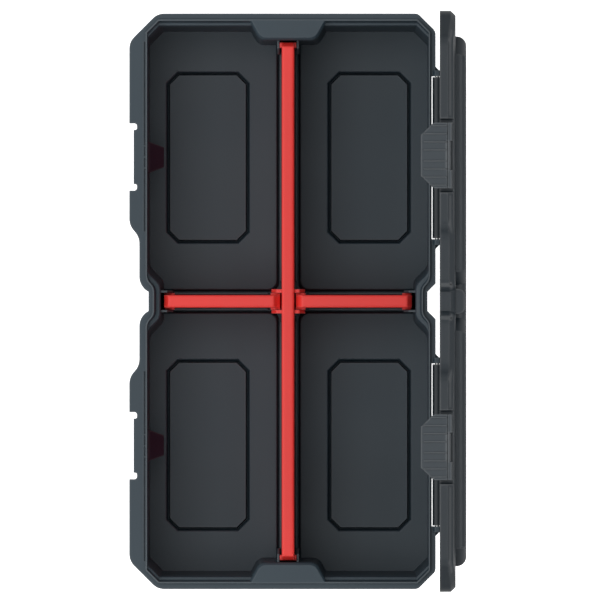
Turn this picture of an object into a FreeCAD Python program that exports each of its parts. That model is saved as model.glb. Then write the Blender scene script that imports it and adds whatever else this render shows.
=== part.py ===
import FreeCAD, Part
import math
import os

# Compartment organizer box with its lid stood open, in millimetres.
# X runs along the box, +Y points to the hinges, the latches are at -Y, and the feet stand on Z = 0.
# Every shape is drawn round the crossing of the dividers with the lid shut, then put in place.

# Plan of the moulded body
length = 390.0
mouth_half = 95.4
end_rim_w = 5.0
rear_rim_w = 4.6
front_rim_w = 5.3
guard_w = 12.1
station_x = 97.8

# Waists at the middle of the front and of the rear
waist_face_y = 94.5
waist_flat = 6.5
waist_shoulder = 3.5
waist_shoulder_r = 11.3
waist_rim_w = 3.9

# Ends of the latch guards and the cut corners of the rim
guard_start = 47.5
guard_run = 7.1
guard_r = 12.0
front_cut = 19.1
rear_cut = 12.0
front_corner_r = 11.0
rear_corner_r = 5.0

# Heights
parting_z = 92.0
foot_drop = 6.0
floor_t = 2.2
wall_t = 1.8
ledge_drop = 3.8
ledge_round = 1.6
ledge_roll = 0.4
lip_h = 2.5
lip_t = 1.1

# Mouth of the body and how it draws in down to the floor
ledge_w = 1.2
ledge_nose = 2.3
ledge_side = 0.3
end_draft = 3.0
side_draft = 0.45
mouth_cut = 8.0
floor_cut = 9.5
inside_r = 8.0
outer_cove = 2.0
waist_ledge_w = 1.2
waist_nose = 3.0
waist_wall_out = 3.1
waist_draft = 1.5
waist_spread = 4.4

# Grip pockets under the rim at both ends
grip_depth = 12.7
grip_inner = 19.0
grip_slant = 0.55
grip_r = 6.5
grip_brow = 1.4
grip_past = 2.0
grip_draft = 2.9

# Rim flange with its skirt
flange_t = 2.2
skirt_h = 11.0
skirt_t = 1.8
rim_rib_t = 1.4
rim_rib_h = 9.0
rim_rib_pitch = 17.0
rim_rib_first = 31.0
groove_w = 1.0
groove_d = 1.2
groove_rib_pitch = 7.5
groove_rib_t = 0.9

# Stacking feet, each a ring with a moat inside it, and the pockets in the lid that take them
foot_y = 54.9
foot_half_x = 58.2
foot_half_y = 28.0
foot_cut = 7.5
foot_slope = 1.1
foot_wall = 1.8
foot_edge = 1.0
foot_lead = 0.7
moat_w = 2.2
moat_low_w = 0.2
foot_panel_drop = 1.0
foot_clear = 0.6

# Channel in the floor under the dividers, the kerbs in it that hold them, and guides for their ends
channel_half = 7.85
channel_d = 4.8
channel_slope = 1.1
channel_lead = 0.6
channel_r = 6.0
kerb_h = 3.2
kerb_t = 1.3
kerb_gap = 0.35
guide_t = 1.5
guide_gap = 0.25
guide_reach = 6.5
guide_drop = 9.2
guide_slope_h = 12.0
guide_slope_w = 3.5

# Dividers
divider_t = 8.5
divider_wall = 1.8
divider_drop = 2.0
divider_seat = 0.3
divider_end_gap = 0.8
divider_end_lean = 1.2
divider_nose_h = 4.5
divider_nose_w = 3.0
divider_edge_r = 1.2
tab_out = 1.35
tab_len = 3.5
short_tab_len = 6.5
short_gap = 1.05
short_nose_w = 4.3
short_end_gap = 1.6
wing_t = 2.4
wing_gap = 0.2
wing_len = 7.0
wing_step = 1.5
tab_lift = 0.8
guide_tab_drop = 18.0

# Finger cups let into the front wall under the latches
cup_half = 11.9
cup_tip_half = 6.8
cup_depth = 11.0
cup_top_drop = 15.0
cup_h = 50.0
cup_tip_h = 10.0
cup_tip_rise = 19.0
cup_wall = 1.6
cup_gap = 0.05

# Hinges, two long knuckles of the lid between ears of the body
hinge_x = 97.3
hinge_back = 1.1
hinge_drop = 1.5
knuckle_len = 109.2
knuckle_r = 3.2
hinge_pin_r = 1.5
hinge_run = 0.1
hinge_press = 0.02
hinge_side_gap = 0.6
hinge_wall_gap = 0.55
ear_t = 4.0
ear_r = 3.4
ear_clear = 0.4
ear_reach = 7.5
ear_foot = 18.0
ear_foot_out = 6.0
ear_heel_r = 2.0
ear_edge_r = 1.0
ear_flare = 2.5
stop_gap = 0.3
boss_h = 4.8
pin_short = 0.4

# Latches and their seats in the front rim
latch_half = 22.05
latch_t = 2.6
latch_down = 12.5
latch_mid_up = 6.8
latch_cut = 8.5
latch_cut_r = 4.0
latch_axis_up = 5.6
latch_barrel_r = 3.1
latch_barrel_in = 9.8
latch_cheek_t = 3.4
latch_cheek_in = 1.3
latch_hook_in = 2.3
latch_hook_gap = 0.3
latch_gap = 0.3
latch_pin_r = 1.0
latch_run = 0.06
latch_press = 0.02
latch_rib_w = 0.9
latch_rib_h = 0.5
latch_rib_pitch = 5.4
latch_ribs = 4
latch_rib_mid = 3.7
latch_rib_end = 1.9
latch_arm_up = 2.4
latch_groove_up = 5.2
latch_groove_w = 0.5
latch_groove_d = 0.4
latch_lug_half = 9.5
latch_lug_r = 2.0
latch_lug_clear = 0.4
seat_skirt_h = 8.6
seat_notch_w = 4.4
seat_notch_d = 2.3
seat_notch_out_r = 1.9
seat_notch_in_r = 1.3
lid_slot_gap = 2.7
lid_slot_r = 1.5

# Lid
lid_gap = 0.2
lid_deck_h = 10.8
lid_front_drop = 2.1
lid_slope_run = 14.5
lid_bevel = 3.2
lid_bevel_over = 0.5
lid_wall = 2.2
lid_skirt_t = 2.0
lid_lip_gap = 0.4
lid_lip_wall = 1.8
lid_seal_w = 1.9
lid_seal_h = 1.5
lid_seal_gap = 0.25
seal_fit = 0.05
panel_h = 18.0
panel_x = 177.8
panel_back = 14.5
panel_rear_back = 7.5
panel_cut = 12.0
panel_edge_r = 6.5
panel_notch = 11.0
panel_notch_d = 9.0
lug_half = 8.5
lug_h = 6.2
lug_d = 6.5
lug_r = 4.5
hold_t = 2.0
hold_gap = 3.0
hold_end = 6.0

# Values worked out from the sizes above
end_x = length / 2
front_y = mouth_half + guard_w
rear_y = mouth_half + rear_rim_w
recess_y = mouth_half + front_rim_w
floor_z = foot_drop + floor_t
ledge_z = parting_z - ledge_drop
shoulder_z = ledge_z - ledge_round
channel_z = floor_z - channel_d
kerb_z = channel_z + kerb_h
hinge_y = rear_y + hinge_back
hinge_z = parting_z - hinge_drop
latch_z = parting_z + latch_axis_up
latch_y = -front_y + latch_barrel_r
seat_y = -front_y + latch_t + latch_gap
divider_top = parting_z - divider_drop
lid_z = parting_z + lid_gap
deck_z = parting_z + lid_deck_h
panel_z = parting_z + panel_h
long_wall_x = end_x - end_rim_w - grip_depth - grip_draft
short_wall_y = waist_face_y - waist_rim_w - waist_ledge_w - waist_nose - waist_draft
origin_y = (hinge_y + hinge_drop + panel_h - front_y) / 2


def at(x, y, z):
    """A point in space."""
    return FreeCAD.Vector(x, y, z)


def box(x0, x1, y0, y1, z0, z1):
    """A block between two corners."""
    return Part.makeBox(x1 - x0, y1 - y0, z1 - z0, at(x0, y0, z0))


def rod(x0, x1, y, z, radius):
    """A round bar along X."""
    return Part.makeCylinder(radius, x1 - x0, at(x0, y, z), at(1, 0, 0))


def mirrored(half):
    """A whole outline from its corners at positive X, run anticlockwise."""
    return half + [(-x, y, r) for x, y, r in reversed(half)]


def outline(corners, place):
    """A closed wire through corners (a, b, radius), rounded by tangent arcs; place turns (a, b) into a point."""
    spans = []
    count = len(corners)
    for i, (a, b, radius) in enumerate(corners):
        corner = at(a, b, 0)
        before = at(*corners[i - 1][:2], 0).sub(corner).normalize()
        after = at(*corners[(i + 1) % count][:2], 0).sub(corner).normalize()
        if radius <= 0:
            spans.append((corner, None, corner))
            continue
        half_angle = before.getAngle(after) / 2
        reach = radius / math.tan(half_angle)
        inward = before.add(after).normalize()
        middle = corner.add(inward.multiply(radius / math.sin(half_angle) - radius))
        spans.append((corner.add(before.multiply(reach)), middle, corner.add(after.multiply(reach))))
    edges = []
    for i, (start, middle, end) in enumerate(spans):
        last = spans[i - 1][2]
        if last.distanceToPoint(start) > 1e-5:
            edges.append(Part.LineSegment(place(last.x, last.y), place(start.x, start.y)).toShape())
        if middle is not None:
            points = [place(p.x, p.y) for p in (start, middle, end)]
            edges.append(Part.Arc(*points).toShape())
    return Part.Wire(edges)


def level(corners, z):
    """An outline lying at one height."""
    return outline(corners, lambda x, y: at(x, y, z))


def prism(corners, z0, z1):
    """An outline drawn straight up."""
    return Part.Face(level(corners, z0)).extrude(at(0, 0, z1 - z0))


def taper(levels):
    """A solid through outlines (corners, z) stacked from the lowest up."""
    return Part.makeLoft([level(corners, z) for corners, z in levels], True, True)


def profile_x(corners, x0, x1):
    """An outline in the YZ plane drawn along X."""
    return Part.Face(outline(corners, lambda y, z: at(x0, y, z))).extrude(at(x1 - x0, 0, 0))


def profile_y(corners, y0, y1):
    """An outline in the XZ plane drawn along Y."""
    return Part.Face(outline(corners, lambda x, z: at(x, y0, z))).extrude(at(0, y1 - y0, 0))


def grown(corners, distance):
    """The outline moved outward by a distance, inward if it is negative; arcs keep their centres."""
    count = len(corners)
    lines = []
    for i, (a, b, _) in enumerate(corners):
        c, d, _ = corners[(i + 1) % count]
        run = math.hypot(c - a, d - b)
        normal = ((d - b) / run, -(c - a) / run)
        lines.append((normal, normal[0] * a + normal[1] * b + distance))
    moved = []
    for i, (a, b, radius) in enumerate(corners):
        (n, s), (m, t) = lines[i - 1], lines[i]
        turn = n[0] * m[1] - n[1] * m[0]
        x = (s * m[1] - t * n[1]) / turn
        y = (n[0] * t - m[0] * s) / turn
        if radius > 0:
            radius = max(radius + math.copysign(distance, turn * distance), 0.2)
        moved.append((x, y, radius))
    return moved


def sharp(corners):
    """The outline with its corners left sharp, for faces that no one sees or touches."""
    return [(x, y, 0.0) for x, y, _ in corners]


def joined(first, *others):
    """One solid from pieces that overlap, with the seams in its flat faces removed."""
    return first.fuse(list(others)).removeSplitter()


def both_ends(shape):
    """A shape and its mirror image across the middle of the box."""
    return [shape, shape.mirror(at(0, 0, 0), at(1, 0, 0))]


def both_sides(shape):
    """A shape and its mirror image across the line of the long divider."""
    return [shape, shape.mirror(at(0, 0, 0), at(0, 1, 0))]


# Rim outline, shared by the body and the lid
def rim(latch_opening):
    """The rim in plan with a given opening at each latch."""
    half = [
        (waist_flat, -waist_face_y, 0.0),
        (waist_flat + waist_shoulder, -recess_y, waist_shoulder_r),
        (guard_start - guard_run / 2, -recess_y, guard_r),
        (guard_start + guard_run / 2, -front_y, guard_r),
        *latch_opening,
        (end_x - front_cut, -front_y, front_corner_r),
        (end_x, -front_y + front_cut, front_corner_r),
        (end_x, rear_y - rear_cut, rear_corner_r),
        (end_x - rear_cut, rear_y, rear_corner_r),
        (waist_flat + rear_y - waist_face_y, rear_y, 0.0),
        (waist_flat, waist_face_y, 0.0),
    ]
    return mirrored(half)


def across_latch(half):
    """Corners given for one side of a latch, mirrored and set at the latch."""
    other = [(-x, y, r) for x, y, r in half]
    return [(station_x + x, y, r) for x, y, r in other + half[::-1]]


def seat_opening():
    """The latch seat in the body's rim: a tab set back from the edge between two notches."""
    tab_half = latch_half - latch_cheek_t - latch_gap
    out = tab_half + seat_notch_w
    notch_y = seat_y + seat_notch_d
    return across_latch([
        (out, -front_y, 0.0),
        (out, notch_y, seat_notch_out_r),
        (tab_half, notch_y, seat_notch_in_r),
        (tab_half, seat_y, 0.0),
    ])


def slot_opening():
    """The slot in the lid's rim that a latch swings in."""
    out = latch_half + lid_slot_gap
    back_y = latch_y + latch_barrel_r + latch_gap
    return across_latch([(out, -front_y, 0.0), (out, back_y, lid_slot_r)])


# Inside of the body at its heights
def cavity(end_in, side_in, waist_in, waist_out, cut, grip_in):
    """The inside of the walls in plan, drawn in from the mouth by the given amounts."""
    end = end_x - end_rim_w - end_in
    side = mouth_half - side_in
    waist = waist_face_y - waist_rim_w - waist_in
    flat = waist_flat + waist_wall_out + waist_out
    grip = end_x - end_rim_w - grip_depth - grip_in
    grip_half = grip_inner + grip_in / 2
    grip_foot = grip_half + (end - grip) * grip_slant
    front = [
        (flat, -waist, inside_r),
        (flat + side - waist, -side, inside_r),
        (end - cut, -side, 0.0),
        (end, -side + cut, 0.0),
        (end, -grip_foot, 0.0),
        (grip, -grip_half, grip_r),
    ]
    rear = [(x, -y, r) for x, y, r in reversed(front)]
    return mirrored(front + rear)


def cavity_levels():
    """The inside outlines from the floor to the top of the lip, each with its height."""
    floor = (ledge_w + ledge_nose + end_draft, ledge_side + side_draft,
             waist_ledge_w + waist_nose + waist_draft, waist_spread, floor_cut, grip_draft)

    def shelf(share):
        return cavity(ledge_w + ledge_nose * share, ledge_side * share, waist_ledge_w + waist_nose * share,
                      waist_spread / 3 * share, mouth_cut, grip_draft / 6 * share)

    top = parting_z + lip_h
    return [
        (cavity(*floor), floor_z),
        (shelf(1.0), ledge_z - ledge_round),
        (shelf(0.75), ledge_z - ledge_roll),
        (shelf(0.0), ledge_z),
        (cavity(0.0, 0.0, 0.0, 0.0, mouth_cut, 0.0), top - grip_brow),
        (cavity(0.0, 0.0, 0.0, 0.0, mouth_cut, -2 * grip_brow), top + grip_brow),
    ]


def lip_line():
    """The inside of the lip in plan; it runs straight past the grip pockets."""
    corners = cavity(0.0, 0.0, 0.0, 0.0, mouth_cut, 0.0)
    end = end_x - end_rim_w
    grip_half = grip_inner + grip_depth * grip_slant + grip_past
    return [(x, y, r) for x, y, r in corners if abs(y) > grip_half or abs(x) > end]


def body_skin():
    """The solid inside the body's outer wall faces, from the floor's underside to the rim."""
    (floor_line, _), (shoulder_line, _) = cavity_levels()[:2]
    outer_floor = grown(sharp(floor_line), wall_t)
    lower = taper([
        (grown(outer_floor, -outer_cove), foot_drop),
        (outer_floor, foot_drop + outer_cove),
        (grown(sharp(shoulder_line), wall_t), shoulder_z),
    ])
    upper = prism(sharp(grown(cavity_levels()[4][0], wall_t)), shoulder_z - wall_t, parting_z)
    return joined(lower, upper)


# Stacking feet
def octagon(grow):
    """A foot's outline with cut corners, set in one quarter of the floor."""
    x, y, cut = foot_half_x, foot_half_y, foot_cut
    corners = [(x - cut, -y), (x, -y + cut), (x, y - cut), (x - cut, y),
               (-x + cut, y), (-x, y - cut), (-x, -y + cut), (-x + cut, -y)]
    return grown([(station_x + a, foot_y + b, 0.0) for a, b in corners], grow)


def four(shape):
    """A shape in each quarter of the box."""
    return [s for one in both_sides(shape) for s in both_ends(one)]


def foot():
    """One foot as a solid block that narrows downward."""
    return taper([
        (octagon(foot_wall - foot_slope - foot_edge), 0.0),
        (octagon(foot_wall - foot_slope), foot_edge),
        (octagon(foot_wall), floor_z),
    ])


def foot_moat():
    """The moat inside a foot, round a panel that lies a little below the floor."""
    well = taper([
        (octagon(-foot_slope), floor_t),
        (octagon(0.0), floor_z - foot_lead),
        (octagon(foot_lead), floor_z),
        (octagon(foot_lead), floor_z + 1),
    ])
    panel = taper([
        (octagon(-foot_slope - moat_low_w), floor_t - 1),
        (octagon(-moat_w), floor_z - foot_panel_drop),
    ])
    return well.cut(panel)


def foot_underside():
    """The hollow below a foot's panel, inside the ring that the box stands on."""
    inner = foot_slope + moat_low_w + foot_wall
    return taper([
        (octagon(-inner), -1.0),
        (octagon(-inner - foot_edge), floor_z - foot_panel_drop - floor_t),
    ])


# Channel, kerbs and guides for the dividers
def cross(half, past):
    """A cross in plan from wall to wall, with its inner corners rounded."""
    reach_x = long_wall_x + past
    reach_y = short_wall_y + past
    half_cross = [
        (half, -reach_y, 0.0), (half, -half, channel_r), (reach_x, -half, 0.0),
        (reach_x, half, 0.0), (half, half, channel_r), (half, reach_y, 0.0),
    ]
    return mirrored(half_cross)


def channel_block():
    """The solid that carries the channel below the floor."""
    return taper([
        (cross(channel_half - channel_slope + wall_t, wall_t), channel_z - floor_t),
        (cross(channel_half + wall_t, wall_t), floor_z - floor_t / 2),
    ])


def channel_space():
    """The channel that the dividers stand in, sunk into the floor."""
    return taper([
        (cross(channel_half - channel_slope, 0.0), channel_z),
        (cross(channel_half, 0.0), floor_z - channel_lead),
        (cross(channel_half + channel_lead, 0.0), floor_z),
        (cross(channel_half + channel_lead, 0.0), floor_z + 1),
    ])


def kerbs():
    """Low walls in the channel on both sides of each divider."""
    near = divider_t / 2 + kerb_gap
    start = channel_half + channel_r
    low = channel_z - floor_t / 2
    along = box(start, long_wall_x + wall_t / 2, near, near + kerb_t, low, kerb_z)
    across = box(near, near + kerb_t, start, short_wall_y + wall_t / 2, low, kerb_z)
    return four(along) + four(across)


def guide(wall, half_slot):
    """One guide rib along the first axis, beside the end of a divider."""
    inner = wall - guide_reach
    top = parting_z - guide_drop
    return [
        (inner, channel_z - floor_t / 2, 0), (wall + 5, channel_z - floor_t / 2, 0), (wall + 5, top, 0),
        (inner + guide_slope_w, top, 0), (inner, top - guide_slope_h, 0),
    ], half_slot, half_slot + guide_t


def guides(skin):
    """The guide ribs at the four divider ends, trimmed to the solid that they grow from."""
    half_slot = divider_t / 2 + tab_out + guide_gap
    long_ribs = four(profile_y(*guide(long_wall_x, half_slot)))
    side_rib, near, far = guide(short_wall_y, half_slot)
    short_ribs = four(profile_x(side_rib, near, far))
    return [rib.common(skin) for rib in long_ribs + short_ribs]


# Hinge ears on the body
def hinge_ear(near, far, flare_x):
    """An ear with an eight-sided head for the pin, a heel that stops the lid, and a flare into the rim."""
    wall_y = mouth_half + wall_t / 2
    heel_y = rear_y + ear_reach
    heel_z = hinge_z + hinge_back - stop_gap
    plan = [
        (near, wall_y, 0), (flare_x, wall_y, 0), (flare_x, rear_y, 0),
        (far, rear_y + ear_flare, 0), (far, heel_y, 0), (near, heel_y, 0),
    ]
    side = [
        (wall_y, hinge_z - ear_foot, 0), (heel_y, hinge_z - ear_foot_out, ear_heel_r),
        (heel_y, heel_z, ear_edge_r), (wall_y, heel_z, 0),
    ]
    web = prism(plan, hinge_z - ear_foot - 1, parting_z)
    web = web.common(profile_x(side, min(near, flare_x) - 1, max(near, flare_x) + 1))
    turns = [math.radians(22.5 + 45 * i) for i in range(8)]
    head = [(hinge_y + ear_r * math.cos(a), hinge_z + ear_r * math.sin(a), 0) for a in turns]
    return web.fuse(profile_x(head, min(near, far), max(near, far)))


def hinge_parts():
    """The four ears, the gaps for the knuckles and the pin holes."""
    inner = knuckle_len / 2 + hinge_side_gap
    outer = inner + ear_t
    flare = outer + ear_flare
    ears = []
    ears += both_ends(hinge_ear(hinge_x + inner, hinge_x + outer, hinge_x + flare))
    ears += both_ends(hinge_ear(hinge_x - inner, hinge_x - outer, hinge_x - flare))
    gap_y = hinge_y - knuckle_r - hinge_wall_gap
    gap = box(hinge_x - inner, hinge_x + inner, gap_y, hinge_y + 20, hinge_z - 25, parting_z + 5)
    hole = rod(hinge_x - outer - 1, hinge_x + outer + 1, hinge_y, hinge_z, hinge_pin_r + hinge_press)
    return ears, both_ends(gap), both_ends(hole)


# Latch guards and the underside of the rim
def rim_ribs():
    """Ribs under the guards, between the wall and the skirt."""
    ribs = []
    offset = rim_rib_first
    while station_x + offset < end_x - front_cut:
        for x in (station_x + offset, station_x - offset):
            if x > guard_start + guard_run:
                rib = box(x - rim_rib_t / 2, x + rim_rib_t / 2, -front_y + skirt_t / 2,
                          -mouth_half - wall_t / 2, parting_z - rim_rib_h, parting_z - flange_t / 2)
                ribs += both_ends(rib)
        offset += rim_rib_pitch
    return ribs


def seal_groove():
    """The shallow groove in the front rim beside the lip, and the small ribs left in it at each latch."""
    inner = mouth_half + lip_t
    line = box(0, end_x - front_cut, -inner - groove_w, -inner, parting_z - groove_d, parting_z + 1)
    start = box(0, guard_start, -inner - 5, -inner + 5, parting_z - 5, parting_z + 5)
    line = line.cut(start)
    ribs = []
    for step in (-1, 0, 1):
        x = station_x + step * groove_rib_pitch
        ribs.append(box(x - groove_rib_t / 2, x + groove_rib_t / 2, -inner - groove_w - 1, -inner + 1,
                        parting_z - groove_d - 1, parting_z + 2))
    return both_ends(line.cut(ribs))


def flat_sided(low, high):
    """A solid with flat faces between two four-cornered ends."""
    faces = [low[::-1], high] + [[low[i], low[(i + 1) % 4], high[(i + 1) % 4], high[i]] for i in range(4)]
    return Part.Solid(Part.Shell([Part.Face(Part.makePolygon(f + f[:1])) for f in faces]))


def cup_block(grow):
    """The finger cup's outside as a blunt wedge that narrows into the compartment."""
    top = parting_z - cup_top_drop
    tip_low = top - cup_h + cup_tip_rise

    def section(y, half, low, high):
        return [at(station_x - half, y, low), at(station_x - half, y, high),
                at(station_x + half, y, high), at(station_x + half, y, low)]

    tip_y = -mouth_half + cup_depth
    return flat_sided(
        section(-mouth_half - wall_t - 1, cup_half + grow, top - cup_h - grow, top + grow),
        section(tip_y + grow, cup_tip_half + grow, tip_low - grow, tip_low + cup_tip_h + grow),
    )


def base_shell(skin):
    """The moulded body: walls, floor, feet, rim, kerbs, guides and hinge ears in one piece."""
    whole_rim = rim(seat_opening())
    plate = prism(whole_rim, parting_z - flange_t, parting_z)
    skirt = prism(whole_rim, parting_z - skirt_h, parting_z)
    under = sharp(grown(whole_rim, -skirt_t))
    skirt = skirt.cut(prism(under, parting_z - skirt_h - 1, parting_z - flange_t / 2))
    seat_half = latch_half + seat_notch_w
    under_seat = box(station_x - seat_half, station_x + seat_half, -front_y - 1, -mouth_half - wall_t,
                     parting_z - skirt_h - 1, parting_z - seat_skirt_h)
    skirt = skirt.cut(both_ends(under_seat))
    lip = prism(grown(lip_line(), lip_t), parting_z - 1, parting_z + lip_h)
    ears, gaps, holes = hinge_parts()
    shell = joined(skin, plate, skirt, lip, *rim_ribs(), *four(foot()), channel_block())
    shell = shell.cut(gaps)
    shell = joined(shell, *ears)
    inside = taper(cavity_levels())
    hollows = four(foot_moat()) + four(foot_underside()) + seal_groove()
    shell = shell.cut([inside, channel_space(), *hollows, *holes])
    shell = joined(shell, *kerbs(), *guides(skin.fuse(channel_block())))
    return shell.cut(both_ends(cup_block(cup_gap)))


def finger_cup(skin):
    """A cup let into the front wall, flush with it outside, that fingers reach into under the latch."""
    shell = cup_block(0.0).cut(cup_block(-cup_wall))
    opening = box(station_x - cup_half + cup_wall, station_x + cup_half - cup_wall,
                  -mouth_half - wall_t - 3, -mouth_half - wall_t + 0.5,
                  parting_z - cup_top_drop - cup_h + cup_wall, parting_z - cup_top_drop - cup_wall)
    return shell.cut(opening).common(skin)


# Dividers
def divider_profile(low, high, low_lean, low_nose, base_z, inset):
    """A divider's side view: leaning ends, a sloped nose at each top corner, all drawn in by an inset."""
    top = divider_top - inset
    nose_z = divider_top - divider_nose_h
    return [
        (low + low_lean + inset, base_z, 0), (high - divider_end_lean - inset, base_z, 0),
        (high - inset, nose_z, 0), (high - divider_nose_w - inset / 2, top, 0),
        (low + low_nose + inset / 2, top, 0), (low + inset, nose_z, 0),
    ]


def divider(profile, inner_profile, draw, tabs):
    """A hollow divider, open below, with its long top edges rounded and tabs at its ends."""
    half = divider_t / 2
    body = draw(profile, -half, half)
    top_edges = [e for e in body.Edges
                 if abs(e.CenterOfMass.z - divider_top) < 0.01 and e.Length > 4 * divider_t]
    body = body.makeFillet(divider_edge_r, top_edges)
    body = joined(body, *tabs)
    return body.cut(draw(inner_profile, -half + divider_wall, half - divider_wall))


def long_divider():
    """The divider along the box, with wings at its middle that hold the short ones."""
    end = end_x - end_rim_w - grip_depth - grip_draft / 6 - divider_end_gap - divider_end_lean / 2
    base_z = channel_z + divider_seat
    lean, nose = divider_end_lean, divider_nose_w
    profile = divider_profile(-end, end, lean, nose, base_z, 0)
    inner = divider_profile(-end, end, lean, nose, base_z - 1, divider_wall)
    tab_half = divider_t / 2 + tab_out
    tab_zone = box(end - tab_len, end + 1, -tab_half, tab_half, floor_z + tab_lift,
                   divider_top - divider_nose_h)
    tabs = [t.common(profile_y(profile, -tab_half, tab_half)) for t in both_ends(tab_zone)]
    wing_x = divider_t / 2 + tab_out + wing_gap
    wing_y = divider_t / 2 + wing_len
    wing_top = divider_top - wing_step
    wing = profile_x([
        (divider_t / 2 - 1, floor_z + tab_lift, 0), (wing_y, floor_z + tab_lift, 0),
        (wing_y, wing_top - wing_len, 0), (wing_y - wing_len / 2, wing_top, 0),
        (divider_t / 2 - 1, wing_top, 0),
    ], wing_x, wing_x + wing_t)
    return divider(profile, inner, profile_y, tabs + four(wing))


def short_divider():
    """The divider between the long one and the rear waist."""
    start = divider_t / 2 + short_gap
    end = short_wall_y - short_end_gap + divider_end_lean / 2
    base_z = channel_z + divider_seat
    profile = divider_profile(start, end, 0, short_nose_w, base_z, 0)
    inner = divider_profile(start, end, 0, short_nose_w, base_z - 1, divider_wall)
    tab_half = divider_t / 2 + tab_out
    tabs = []
    for low, high, drop in ((start - 1, start + short_tab_len, divider_nose_h),
                            (end - short_tab_len, end + 1, guide_tab_drop)):
        zone = box(-tab_half, tab_half, low, high, floor_z + tab_lift, divider_top - drop)
        tabs.append(zone.common(profile_x(profile, -tab_half, tab_half)))
    return divider(profile, inner, profile_x, tabs)


# Lid, drawn shut
def lid_slope(drop):
    """The space above the lid's deck where it falls to the front edge."""
    high = deck_z - drop
    back = -front_y + lid_slope_run
    corners = [
        (-front_y - 5, high - lid_front_drop * (1 + 5 / lid_slope_run), 0), (back, high, 0),
        (back, high + 5, 0), (-front_y - 5, high + 5, 0),
    ]
    return profile_x(corners, -end_x - 5, end_x + 5)


def lid_crown():
    """The lid's rim with its deck, bevelled all round; the deck falls to the front edge."""
    plain = rim([])
    over = grown(plain, lid_bevel_over)
    stages = [(over, 0.0), (over, deck_z - lid_bevel - lid_bevel_over), (grown(plain, -lid_bevel), deck_z)]
    fall = lid_front_drop / lid_slope_run
    crease_y = -front_y + lid_slope_run
    sloped = Part.makeLoft([
        outline(corners, lambda x, y: at(x, y, z + fall * (y - crease_y))) for corners, z in stages
    ], True, True)
    return prism(plain, lid_z, deck_z).common(taper(stages)).common(sloped)


def panel_outline():
    """The raised panel in plan, notched at both waists."""
    front = -front_y + panel_back
    rear = rear_y - panel_rear_back
    half = [
        (panel_notch, front + panel_notch_d, 0.0),
        (panel_notch + panel_notch_d, front, 0.0),
        (panel_x - panel_cut, front, 0.0), (panel_x, front + panel_cut, 0.0),
        (panel_x, rear - panel_cut, 0.0), (panel_x - panel_cut, rear, 0.0),
        (panel_notch + panel_notch_d, rear, 0.0),
        (panel_notch, rear - panel_notch_d, 0.0),
    ]
    return mirrored(half)


def domed(corners, z0, z1, radius):
    """A prism with the edge of its top rounded over."""
    block = prism(corners, z0, z1)
    rim_edges = [e for e in block.Edges if abs(e.BoundBox.ZMin - z1) < 0.01]
    return block.makeFillet(radius, rim_edges)


def lid_pocket(grow, drop):
    """A pocket in the lid's panel for a foot of the box above, or its underside when grown."""
    edge = foot_wall + foot_clear + grow
    return taper([
        (octagon(edge - foot_slope), panel_z - foot_drop - foot_clear - drop),
        (octagon(edge), panel_z + 0.01),
    ])


def lid_lug():
    """The rounded lug that stands on the deck in the waist's notch."""
    front = -front_y + panel_back + panel_notch_d - lug_d
    return profile_y([
        (-lug_half, deck_z - lid_wall, 0.0), (lug_half, deck_z - lid_wall, 0.0),
        (lug_half, deck_z + lug_h, lug_r), (-lug_half, deck_z + lug_h, lug_r),
    ], front, front + 2 * lug_d)


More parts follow.
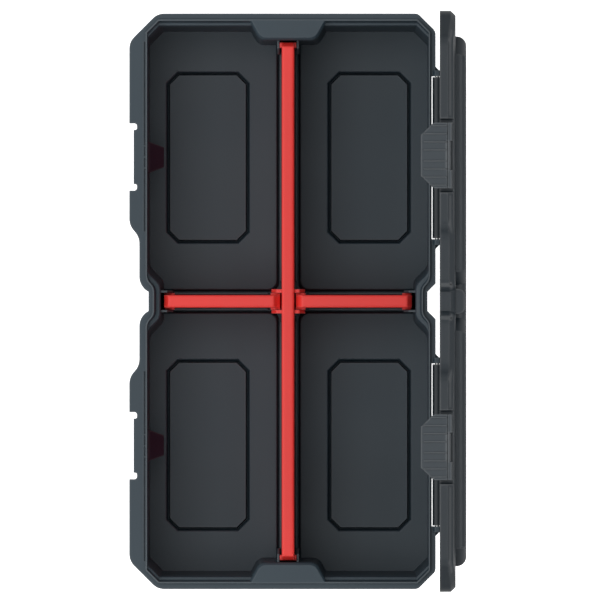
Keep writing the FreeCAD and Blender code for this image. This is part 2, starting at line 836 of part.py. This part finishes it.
def lid_shell():
    """The moulded lid: rim, raised panel with foot pockets, seal channel, knuckles and latch lugs."""
    panel = domed(panel_outline(), lid_z + 1, panel_z, panel_edge_r)
    shell = joined(lid_crown(), panel, lid_lug())
    seal_out = lip_t + lid_lip_gap
    wall_out = seal_out + lid_lip_wall
    slotted = rim(slot_opening())
    shell = shell.common(prism(slotted, lid_z - 1, panel_z + 1))
    trough = prism(sharp(grown(slotted, -lid_skirt_t)), lid_z - 1, deck_z - lid_wall)
    trough = trough.cut([prism(sharp(grown(lip_line(), wall_out)), lid_z - 2, deck_z), lid_slope(lid_wall)])
    lip_room = prism(grown(lip_line(), seal_out), lid_z - 1, parting_z + lip_h + lid_seal_gap)
    hollow = prism(sharp(grown(lip_line(), -lid_lip_wall)), lid_z - 1, deck_z - lid_wall)
    inside = grown(panel_outline(), -lid_wall)
    slant = panel_edge_r - lid_wall
    dome = taper([(inside, lid_z), (inside, panel_z - lid_wall - slant),
                  (grown(inside, -slant), panel_z - lid_wall)])
    bumps = four(lid_pocket(lid_wall, lid_wall))
    hollow = hollow.fuse(dome).cut(bumps)
    seal_mid = seal_out - lid_lip_gap - lip_t / 2
    channel = prism(sharp(grown(lip_line(), seal_mid + lid_seal_w / 2)), parting_z + lip_h,
                    parting_z + lip_h + lid_seal_gap + lid_seal_h)
    channel = channel.cut(prism(sharp(grown(lip_line(), seal_mid - lid_seal_w / 2)), parting_z, deck_z))
    shell = shell.cut([trough, lip_room, hollow, channel, *four(lid_pocket(0.0, 0.0))])
    hold_x = end_x - end_rim_w - grip_depth - hold_end
    hold_y = waist_face_y - waist_rim_w - hold_end
    hold_z = divider_top + hold_gap
    ribs = [box(-hold_x, hold_x, -hold_t / 2, hold_t / 2, hold_z, panel_z - lid_wall / 2),
            box(-hold_t / 2, hold_t / 2, -hold_y, hold_y, hold_z, panel_z - lid_wall / 2)]
    inside_panel = prism(grown(panel_outline(), -lid_wall / 2), hold_z - 1, panel_z - lid_wall / 2)
    ribs = [rib.common(inside_panel) for rib in ribs]
    knuckle = rod(hinge_x - knuckle_len / 2, hinge_x + knuckle_len / 2, hinge_y, hinge_z, knuckle_r)
    boss = box(hinge_x - knuckle_len / 2, hinge_x + knuckle_len / 2, rear_y - 1, hinge_y + knuckle_r,
               hinge_z, parting_z + boss_h)
    bore = rod(hinge_x - knuckle_len, hinge_x + knuckle_len, hinge_y, hinge_z, hinge_pin_r + hinge_run)
    ear_inner = knuckle_len / 2
    ear_outer = ear_inner + 2 * hinge_side_gap + ear_t
    scallops = [rod(hinge_x + ear_inner, hinge_x + ear_outer, hinge_y, hinge_z, ear_r + ear_clear),
                rod(hinge_x - ear_outer, hinge_x - ear_inner, hinge_y, hinge_z, ear_r + ear_clear)]
    back_y = latch_y + latch_barrel_r + latch_gap
    lug_bar = rod(station_x - latch_lug_half, station_x + latch_lug_half, latch_y, latch_z, latch_lug_r)
    arm = box(station_x - latch_lug_half, station_x + latch_lug_half, latch_y, back_y + 0.5,
              latch_z - latch_lug_r, latch_z + latch_lug_r * 0.6)
    pin_hole = rod(station_x - latch_half, station_x + latch_half, latch_y, latch_z,
                   latch_pin_r + latch_press)
    shell = shell.cut([s for one in scallops for s in both_ends(one)])
    shell = joined(shell, *ribs, *both_ends(knuckle), *both_ends(boss), *both_ends(lug_bar),
                   *both_ends(arm))
    return shell.cut(both_ends(bore) + both_ends(pin_hole))


def lid_seal():
    """The soft ring in the lid's channel that the body's lip closes against."""
    middle = lip_t / 2
    low = parting_z + lip_h + lid_seal_gap
    ring = prism(sharp(grown(lip_line(), middle + lid_seal_w / 2 - seal_fit)), low, low + lid_seal_h)
    return ring.cut(prism(sharp(grown(lip_line(), middle - lid_seal_w / 2 + seal_fit)), low - 1,
                          low + lid_seal_h + 1))


# Latch, drawn shut at the right-hand station
def latch():
    """A latch: grip plate with two arms, barrels on the pin, cheeks that fill the notches, and a hook."""
    low = parting_z - latch_down
    front = -front_y
    inner_y = front + latch_t
    mid = latch_barrel_in
    top = latch_z + latch_arm_up
    plate = profile_y([
        (-latch_half, low, 0), (latch_half, low, 0), (latch_half, top, 0), (mid, top, 0),
        (mid, parting_z + latch_mid_up, 0), (-mid, parting_z + latch_mid_up, 0), (-mid, top, 0),
        (-latch_half, top, 0),
    ], front, inner_y)
    barrels = [rod(-latch_half, -mid, latch_y, latch_z, latch_barrel_r),
               rod(mid, latch_half, latch_y, latch_z, latch_barrel_r)]
    cheek_in = latch_half - latch_cheek_t
    cheeks = [box(-latch_half, -cheek_in, inner_y - 1, inner_y + latch_cheek_in, low, latch_z - 1),
              box(cheek_in, latch_half, inner_y - 1, inner_y + latch_cheek_in, low, latch_z - 1)]
    hook_top = parting_z - seat_skirt_h - latch_hook_gap
    hook = box(-latch_half, latch_half, inner_y - 1, inner_y + latch_hook_in, low, hook_top)
    body = joined(plate, *barrels, *cheeks, hook)
    past = latch_cut
    trim = [(-latch_half - past, low + latch_cut + past, 0), (-latch_half - past, low - past, 0),
            (-latch_half + latch_cut, low - past, 0), (-latch_half + latch_cut, low, latch_cut_r),
            (-latch_half, low + latch_cut, latch_cut_r), (-latch_half, low + latch_cut + past, 0)]
    corner = profile_y(trim, front - 1, front + 20)
    ribs = []
    rib_low = low + latch_rib_end
    for side in (-1, 1):
        for step in range(latch_ribs):
            x = side * (latch_rib_mid + step * latch_rib_pitch)
            ribs.append(box(x - latch_rib_w / 2, x + latch_rib_w / 2, front - latch_rib_h, front + 0.5,
                            rib_low, parting_z + latch_mid_up - latch_rib_end))
    body = joined(body, *ribs).cut(both_ends(corner))
    clear = rod(-mid, mid, latch_y, latch_z, latch_lug_r + latch_lug_clear)
    hole = rod(-latch_half - 1, latch_half + 1, latch_y, latch_z, latch_pin_r + latch_run)
    groove_z = parting_z + latch_groove_up
    groove = box(-latch_half - 1, latch_half + 1, front - 1, front + latch_groove_d, groove_z,
                 groove_z + latch_groove_w)
    body = body.cut([clear, hole, groove])
    body.translate(at(station_x, 0, 0))
    return body


def latch_pin():
    """The steel pin through a latch's barrels and the lid's lug."""
    end = latch_half - pin_short
    return rod(station_x - end, station_x + end, latch_y, latch_z, latch_pin_r)


def hinge_pin():
    """The steel pin through two ears and the knuckle between them."""
    end = knuckle_len / 2 + hinge_side_gap + ear_t - pin_short
    return rod(hinge_x - end, hinge_x + end, hinge_y, hinge_z, hinge_pin_r)


def opened(shape):
    """A piece of the lid swung open to stand upright on its hinges."""
    shape.rotate(at(0, hinge_y, hinge_z), at(-1, 0, 0), 90)
    return shape


def pieces():
    """Every piece of the box in place, by name."""
    skin = body_skin()
    cup = finger_cup(skin)
    pin = hinge_pin()
    clasp = opened(latch())
    clasp_pin = opened(latch_pin())
    short = short_divider()
    found = {
        "base_shell": base_shell(skin),
        "lid_shell": opened(lid_shell()),
        "lid_seal": opened(lid_seal()),
        "long_divider": long_divider(),
        "short_divider_rear": short,
        "short_divider_front": short.mirror(at(0, 0, 0), at(0, 1, 0)),
    }
    for name, shape in (("finger_cup", cup), ("hinge_pin", pin), ("latch", clasp), ("latch_pin", clasp_pin)):
        found[name + "_right"], found[name + "_left"] = both_ends(shape)
    return found


os.makedirs("parts", exist_ok=True)
for name, shape in pieces().items():
    shape.translate(at(0, -origin_y, 0))
    shape.exportStep("parts/" + name + ".step")
    print(name, len(shape.Solids), shape.isValid(), round(shape.Volume), len(shape.Faces))
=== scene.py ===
import bpy
from mathutils import Matrix, Vector

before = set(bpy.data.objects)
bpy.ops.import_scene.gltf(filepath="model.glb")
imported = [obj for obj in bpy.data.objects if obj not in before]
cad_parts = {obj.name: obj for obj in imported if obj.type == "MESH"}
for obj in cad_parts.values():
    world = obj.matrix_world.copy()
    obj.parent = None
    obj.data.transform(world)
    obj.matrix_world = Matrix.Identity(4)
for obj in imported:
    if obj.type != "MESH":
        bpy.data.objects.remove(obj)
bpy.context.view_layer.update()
MM = 0.001


# Camera: above the open box, over the hinge side, with the hinges at the right and the box's length running
# down the picture. A very long lens keeps the walls from leaning, as a catalogue picture does.
PIXEL = 0.6775 * MM
FRAME_PIXELS = 600
SENSOR_W = 36.0
LENS = 1700.0
CLIP_NEAR = 1.0
RIM_Z = 92 * MM
VIEW_X, VIEW_Y = -0.9 * MM, 1.6 * MM
OVER_Y = 90 * MM
distance = PIXEL * FRAME_PIXELS * LENS / SENSOR_W
seen = Vector((VIEW_X, VIEW_Y, RIM_Z))
stand = Vector((VIEW_X, OVER_Y, RIM_Z + distance))
back = (stand - seen).normalized()
up = Vector((-1, 0, 0))
camera_data = bpy.data.cameras.new("camera")
camera_data.sensor_width = SENSOR_W
camera_data.lens = LENS
camera_data.clip_start, camera_data.clip_end = CLIP_NEAR, 2 * distance
camera = bpy.data.objects.new("camera", camera_data)
camera.matrix_world = Matrix.Translation(stand) @ Matrix((up.cross(back), up, back)).transposed().to_4x4()
bpy.context.scene.collection.objects.link(camera)
bpy.context.scene.camera = camera
bpy.context.scene.view_settings.view_transform = "Standard"


# Floor: a wide sheet of matt white board under the box. It shows white to the camera, as the tent behind it
# does, and keeps a part of the box's own shadow.
FLOOR_HALF = 6.0
FLOOR_GLOW = 0.87
FLOOR_WHITE = "#f4f4f4"


def linear(colour):
    """An sRGB hex colour as linear red, green, blue and alpha."""
    parts = [int(colour[i:i + 2], 16) / 255 for i in (1, 3, 5)]
    return [c / 12.92 if c <= 0.04045 else ((c + 0.055) / 1.055) ** 2.4 for c in parts] + [1.0]


def blank_tree(owner):
    """The node tree of a material or a world, emptied."""
    owner.use_nodes = True
    owner.node_tree.nodes.clear()
    return owner.node_tree


def add(tree, kind, settings=None, links=None):
    """A node of one kind with its settings, and its links as input to output socket.

    An input is given by its name, or by its place where the node uses the name twice."""
    node = tree.nodes.new(kind)
    for name, value in (settings or {}).items():
        if isinstance(name, int) or name in node.inputs:
            node.inputs[name].default_value = value
        else:
            setattr(node, name, value)
    for name, source in (links or {}).items():
        tree.links.new(source, node.inputs[name])
    return node


floor_mesh = bpy.data.meshes.new("floor")
floor_corners = [(-FLOOR_HALF, -FLOOR_HALF, 0), (FLOOR_HALF, -FLOOR_HALF, 0),
                 (FLOOR_HALF, FLOOR_HALF, 0), (-FLOOR_HALF, FLOOR_HALF, 0)]
floor_mesh.from_pydata(floor_corners, [], [(0, 1, 2, 3)])
floor = bpy.data.objects.new("floor", floor_mesh)
bpy.context.scene.collection.objects.link(floor)
white_board = bpy.data.materials.new("matt white board")
tree = blank_tree(white_board)
rays = add(tree, "ShaderNodeLightPath")
matt = add(tree, "ShaderNodeBsdfDiffuse", {"Color": linear(FLOOR_WHITE)})
glow = add(tree, "ShaderNodeEmission", {"Strength": FLOOR_GLOW})
both = add(tree, "ShaderNodeAddShader", links={0: matt.outputs[0], 1: glow.outputs[0]})
shown = add(tree, "ShaderNodeMixShader",
            links={"Fac": rays.outputs["Is Camera Ray"], 1: matt.outputs[0], 2: both.outputs[0]})
add(tree, "ShaderNodeOutputMaterial", links={"Surface": shown.outputs[0]})
floor_mesh.materials.append(white_board)


# Light: a dim white tent, a large soft panel overhead towards the latch side, and a panel and three strips
# lower down that pick out the edges. All lamps face the middle of the box.
BOX_MIDDLE = Vector((0, 0, 90 * MM))
TENT_GLOW = 0.27
WHITE = (1, 1, 1, 1)


def soft_panel(name, place, size, power):
    """A rectangular area lamp at a place, turned to face the middle of the box."""
    lamp = bpy.data.lights.new(name, "AREA")
    lamp.shape = "RECTANGLE"
    lamp.size, lamp.size_y = size
    lamp.energy = power
    lamp_object = bpy.data.objects.new(name, lamp)
    lamp_object.location = place
    lamp_object.rotation_euler = (BOX_MIDDLE - Vector(place)).to_track_quat("-Z", "Y").to_euler()
    bpy.context.scene.collection.objects.link(lamp_object)


soft_panel("overhead panel", place=(0.0, -0.4, 1.95), size=(1.6, 1.3), power=14.5)
soft_panel("latch side panel", place=(0.0, -1.45, 1.3), size=(1.4, 0.8), power=11.0)
soft_panel("hinge side strip", place=(0.0, 1.45, 1.35), size=(2.0, 0.35), power=15.0)
soft_panel("near end strip", place=(1.45, 0.0, 1.35), size=(2.0, 0.35), power=7.0)
soft_panel("far end strip", place=(-1.45, 0.0, 1.35), size=(2.0, 0.35), power=5.0)
tent = bpy.data.worlds.new("white tent")
tree = blank_tree(tent)
rays = add(tree, "ShaderNodeLightPath")
light = add(tree, "ShaderNodeBackground", {"Color": WHITE, "Strength": TENT_GLOW})
white = add(tree, "ShaderNodeBackground", {"Color": WHITE, "Strength": 1.0})
shown = add(tree, "ShaderNodeMixShader",
            links={"Fac": rays.outputs["Is Camera Ray"], 1: light.outputs[0], 2: white.outputs[0]})
add(tree, "ShaderNodeOutputWorld", links={"Surface": shown.outputs[0]})
bpy.context.scene.world = tent


# Body: one injection moulding in dark grey polypropylene from a spark-eroded tool, with its rim flange,
# compartments, kerbs and hinge ears. The tool's grain spreads reflections, so flat faces look even and satin,
# and the outer edges are painted a little paler, as a painted highlight.
BODY_GREY = "#2b3942"
PLASTIC_IOR = 1.49
EDGE_RADIUS = 0.9 * MM

# Clouds: their size, and how far they shift tone and roughness
CLOUD = 60 * MM
CLOUD_TONE = 0.07
CLOUD_GLOSS = 0.04

# Grain: drawn coarser than the tool's tenth of a millimetre, so that it shows
GRAIN = 0.9 * MM
GRAIN_STRENGTH = 0.35

# Painted edge highlights: a paler tone painted along outer edges in place of the shine on their rounding.
# How far from an edge it starts, how open an edge is where it is strongest, and how much of the tone and how
# much of white it takes there
HIGHLIGHT_REACH = 1.3 * MM
HIGHLIGHT_OPEN = 0.55
HIGHLIGHT_MOST = 0.6
HIGHLIGHT_PALER = 0.07

# Light inside a milky plastic: how deep its red goes, and the shares of red, green and blue
GLOW_DEPTH = 5 * MM
GLOW_SHARES = (1.0, 0.25, 0.2)

# The Mix node's colour sockets by place, because it uses their names for other sockets too
MIX_FIRST, MIX_SECOND, MIX_RESULT = 6, 7, 2


def moulded_plastic(name, colour, roughness, grain_depth, edge_radius=EDGE_RADIUS, sheen=0.42, milky=0.0):
    """A moulded plastic: faint clouds of tone and gloss, a fine grain, and edges rounded as the tool's are.

    Its outer edges are painted paler, as a painted highlight. A milky one lets light a few millimetres in,
    red deepest."""
    material = bpy.data.materials.new(name)
    tree = blank_tree(material)
    place = add(tree, "ShaderNodeTexCoord").outputs["Object"]
    base = linear(colour)[:3]
    darker = [c * (1 - CLOUD_TONE) for c in base] + [1.0]
    lighter = [c * (1 + CLOUD_TONE) for c in base] + [1.0]
    # The paler tone of the painted edge highlights
    highlight_tone = [c + (1 - c) * HIGHLIGHT_PALER for c in base] + [1.0]
    clouds = add(tree, "ShaderNodeTexNoise", {"Scale": 1 / CLOUD, "Detail": 3.0}, {"Vector": place})
    tone = add(tree, "ShaderNodeMix", {"data_type": "RGBA", MIX_FIRST: darker, MIX_SECOND: lighter},
               {"Factor": clouds.outputs["Fac"]})
    # Painted highlight: outer edges, found by a short inward occlusion test, are mixed towards the paler tone
    edge = add(tree, "ShaderNodeAmbientOcclusion",
               {"samples": 8, "inside": True, "only_local": True, "Distance": HIGHLIGHT_REACH})
    highlight_share = add(tree, "ShaderNodeMapRange",
                 {"From Min": 1.0, "From Max": HIGHLIGHT_OPEN, "To Min": 0.0, "To Max": HIGHLIGHT_MOST},
                 {"Value": edge.outputs["AO"]})
    tone_with_highlight = add(tree, "ShaderNodeMix", {"data_type": "RGBA", MIX_SECOND: highlight_tone},
               {"Factor": highlight_share.outputs["Result"], MIX_FIRST: tone.outputs[MIX_RESULT]})
    grain = add(tree, "ShaderNodeTexNoise", {"Scale": 1 / GRAIN, "Detail": 2.0}, {"Vector": place})
    rounded = add(tree, "ShaderNodeBevel", {"samples": 6, "Radius": edge_radius})
    bumped = add(tree, "ShaderNodeBump", {"Strength": GRAIN_STRENGTH, "Distance": grain_depth},
                 {"Height": grain.outputs["Fac"], "Normal": rounded.outputs["Normal"]})
    rough = add(tree, "ShaderNodeMapRange",
                {"To Min": roughness - CLOUD_GLOSS, "To Max": roughness + CLOUD_GLOSS},
                {"Value": clouds.outputs["Fac"]})
    shader = add(tree, "ShaderNodeBsdfPrincipled",
                 {"IOR": PLASTIC_IOR, "Specular IOR Level": sheen, "Subsurface Weight": milky,
                  "Subsurface Radius": GLOW_SHARES, "Subsurface Scale": GLOW_DEPTH},
                 {"Base Color": tone_with_highlight.outputs[MIX_RESULT], "Roughness": rough.outputs["Result"],
                  "Normal": bumped.outputs["Normal"]})
    add(tree, "ShaderNodeOutputMaterial", links={"Surface": shader.outputs[0]})
    return material


def finish(node, material):
    """Gives a piece of the box its material."""
    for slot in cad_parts[node].material_slots:
        slot.material = material


finish("base_shell", moulded_plastic("injection-moulded polypropylene, dark grey", BODY_GREY,
                                     roughness=0.5, grain_depth=0.05 * MM))


# Finger cups: small red polypropylene mouldings pressed into the front wall below the latches. Their colour
# is painted a very dark red as painted shade, and their surface is duller than the body's, so they look
# almost black.
CUP_SHADED_RED = "#2b1e2a"
cup_plastic = moulded_plastic("injection-moulded polypropylene, dark red", CUP_SHADED_RED,
                              roughness=0.6, grain_depth=0.04 * MM, sheen=0.1)
for side in ("left", "right"):
    finish("finger_cup_" + side, cup_plastic)


# Hinge pins and latch pins: drawn steel wire, cut to length and pressed in. Drawing leaves fine lines along
# the wire, which stretch its reflections.
STEEL_GREY = "#c9c9c8"
STEEL_SMOOTH, STEEL_ROUGH = 0.22, 0.38
LINE_LENGTH, LINE_WIDTH = 8 * MM, 0.15 * MM


def drawn_steel(name):
    """Bright steel wire along the box's length, with fine draw lines along it."""
    material = bpy.data.materials.new(name)
    tree = blank_tree(material)
    place = add(tree, "ShaderNodeTexCoord")
    along = add(tree, "ShaderNodeMapping", {"Scale": (1 / LINE_LENGTH, 1 / LINE_WIDTH, 1 / LINE_WIDTH)},
                {"Vector": place.outputs["Object"]})
    lines = add(tree, "ShaderNodeTexNoise", {"Scale": 1.0, "Detail": 2.0}, {"Vector": along.outputs[0]})
    rough = add(tree, "ShaderNodeMapRange", {"To Min": STEEL_SMOOTH, "To Max": STEEL_ROUGH},
                {"Value": lines.outputs["Fac"]})
    shader = add(tree, "ShaderNodeBsdfPrincipled", {"Base Color": linear(STEEL_GREY), "Metallic": 1.0},
                 {"Roughness": rough.outputs["Result"]})
    add(tree, "ShaderNodeOutputMaterial", links={"Surface": shader.outputs[0]})
    return material


steel = drawn_steel("drawn steel wire")
for side in ("left", "right"):
    finish("hinge_pin_" + side, steel)
    finish("latch_pin_" + side, steel)


# Lid: the same polypropylene as the body, moulded with its raised panel and knuckles in one piece. Its tone
# is painted darker than the body's, as painted shade. Its grain and its edges look as the body's do.
LID_SHADED_GREY = "#1a2228"
finish("lid_shell", moulded_plastic("injection-moulded polypropylene, lid grey", LID_SHADED_GREY,
                                    roughness=0.5, grain_depth=0.05 * MM))


# Seal: a moulded ring of soft black rubber pushed into the lid's channel. It is dull, with no clear
# reflection.
SEAL_BLACK = "#1c1d1e"
finish("lid_seal", moulded_plastic("moulded thermoplastic rubber, black", SEAL_BLACK,
                                   roughness=0.7, grain_depth=0.03 * MM))


# Latches: grey polypropylene, a tone lighter than the lid, each turning on its pin. The moulded grip ribs
# catch the light as fine stripes.
LATCH_GREY = "#2a3238"
latch_plastic = moulded_plastic("injection-moulded polypropylene, latch grey", LATCH_GREY,
                                roughness=0.5, grain_depth=0.05 * MM)
for side in ("left", "right"):
    finish("latch_" + side, latch_plastic)


# Dividers: red polypropylene, one long and two short, standing between kerbs on the floor. The red lets some
# light in, which softens its shaded sides, and its edges are rounder than the body's.
DIVIDER_RED = "#e9332d"
divider_red = moulded_plastic("injection-moulded polypropylene, red", DIVIDER_RED,
                              roughness=0.45, grain_depth=0.03 * MM, edge_radius=2.4 * MM, milky=0.3)
for node in ("long_divider", "short_divider_front", "short_divider_rear"):
    finish(node, divider_red)
